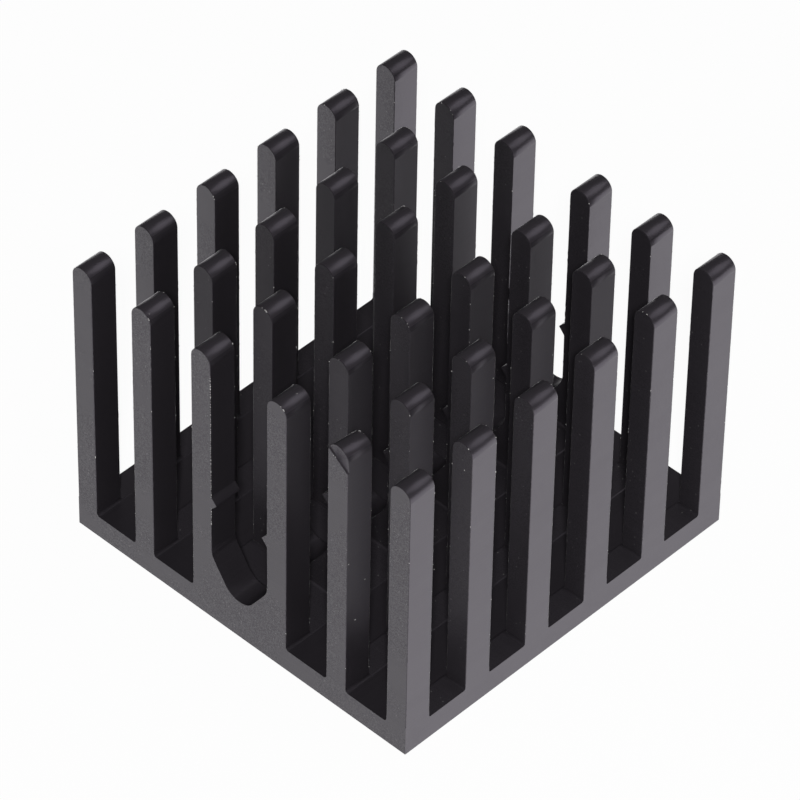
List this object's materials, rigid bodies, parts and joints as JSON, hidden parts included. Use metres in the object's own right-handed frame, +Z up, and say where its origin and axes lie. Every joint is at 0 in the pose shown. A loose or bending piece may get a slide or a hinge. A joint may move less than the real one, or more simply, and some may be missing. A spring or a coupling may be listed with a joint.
{
  "type": "pin fin heat sink",
  "caption": "Square black anodised heat sink: a thin flat base with rows of tall round-topped pins and a wider barbed clip channel down the middle.",
  "frame": {"origin": "centre of the flat underside, which sits on the part to be cooled", "axes": "+Z up along the pins, +X across the extrusion, +Y along the extrusion and the clip channel"},
  "size_m": [0.028, 0.0282, 0.0218],
  "materials": {
    "black_anodised": "black anodised, satin on the extruded faces and finely grained on the sawn ones"
  },
  "bodies": {
    "root": {"heat_sink": "black_anodised"}
  },
  "joints": []
}
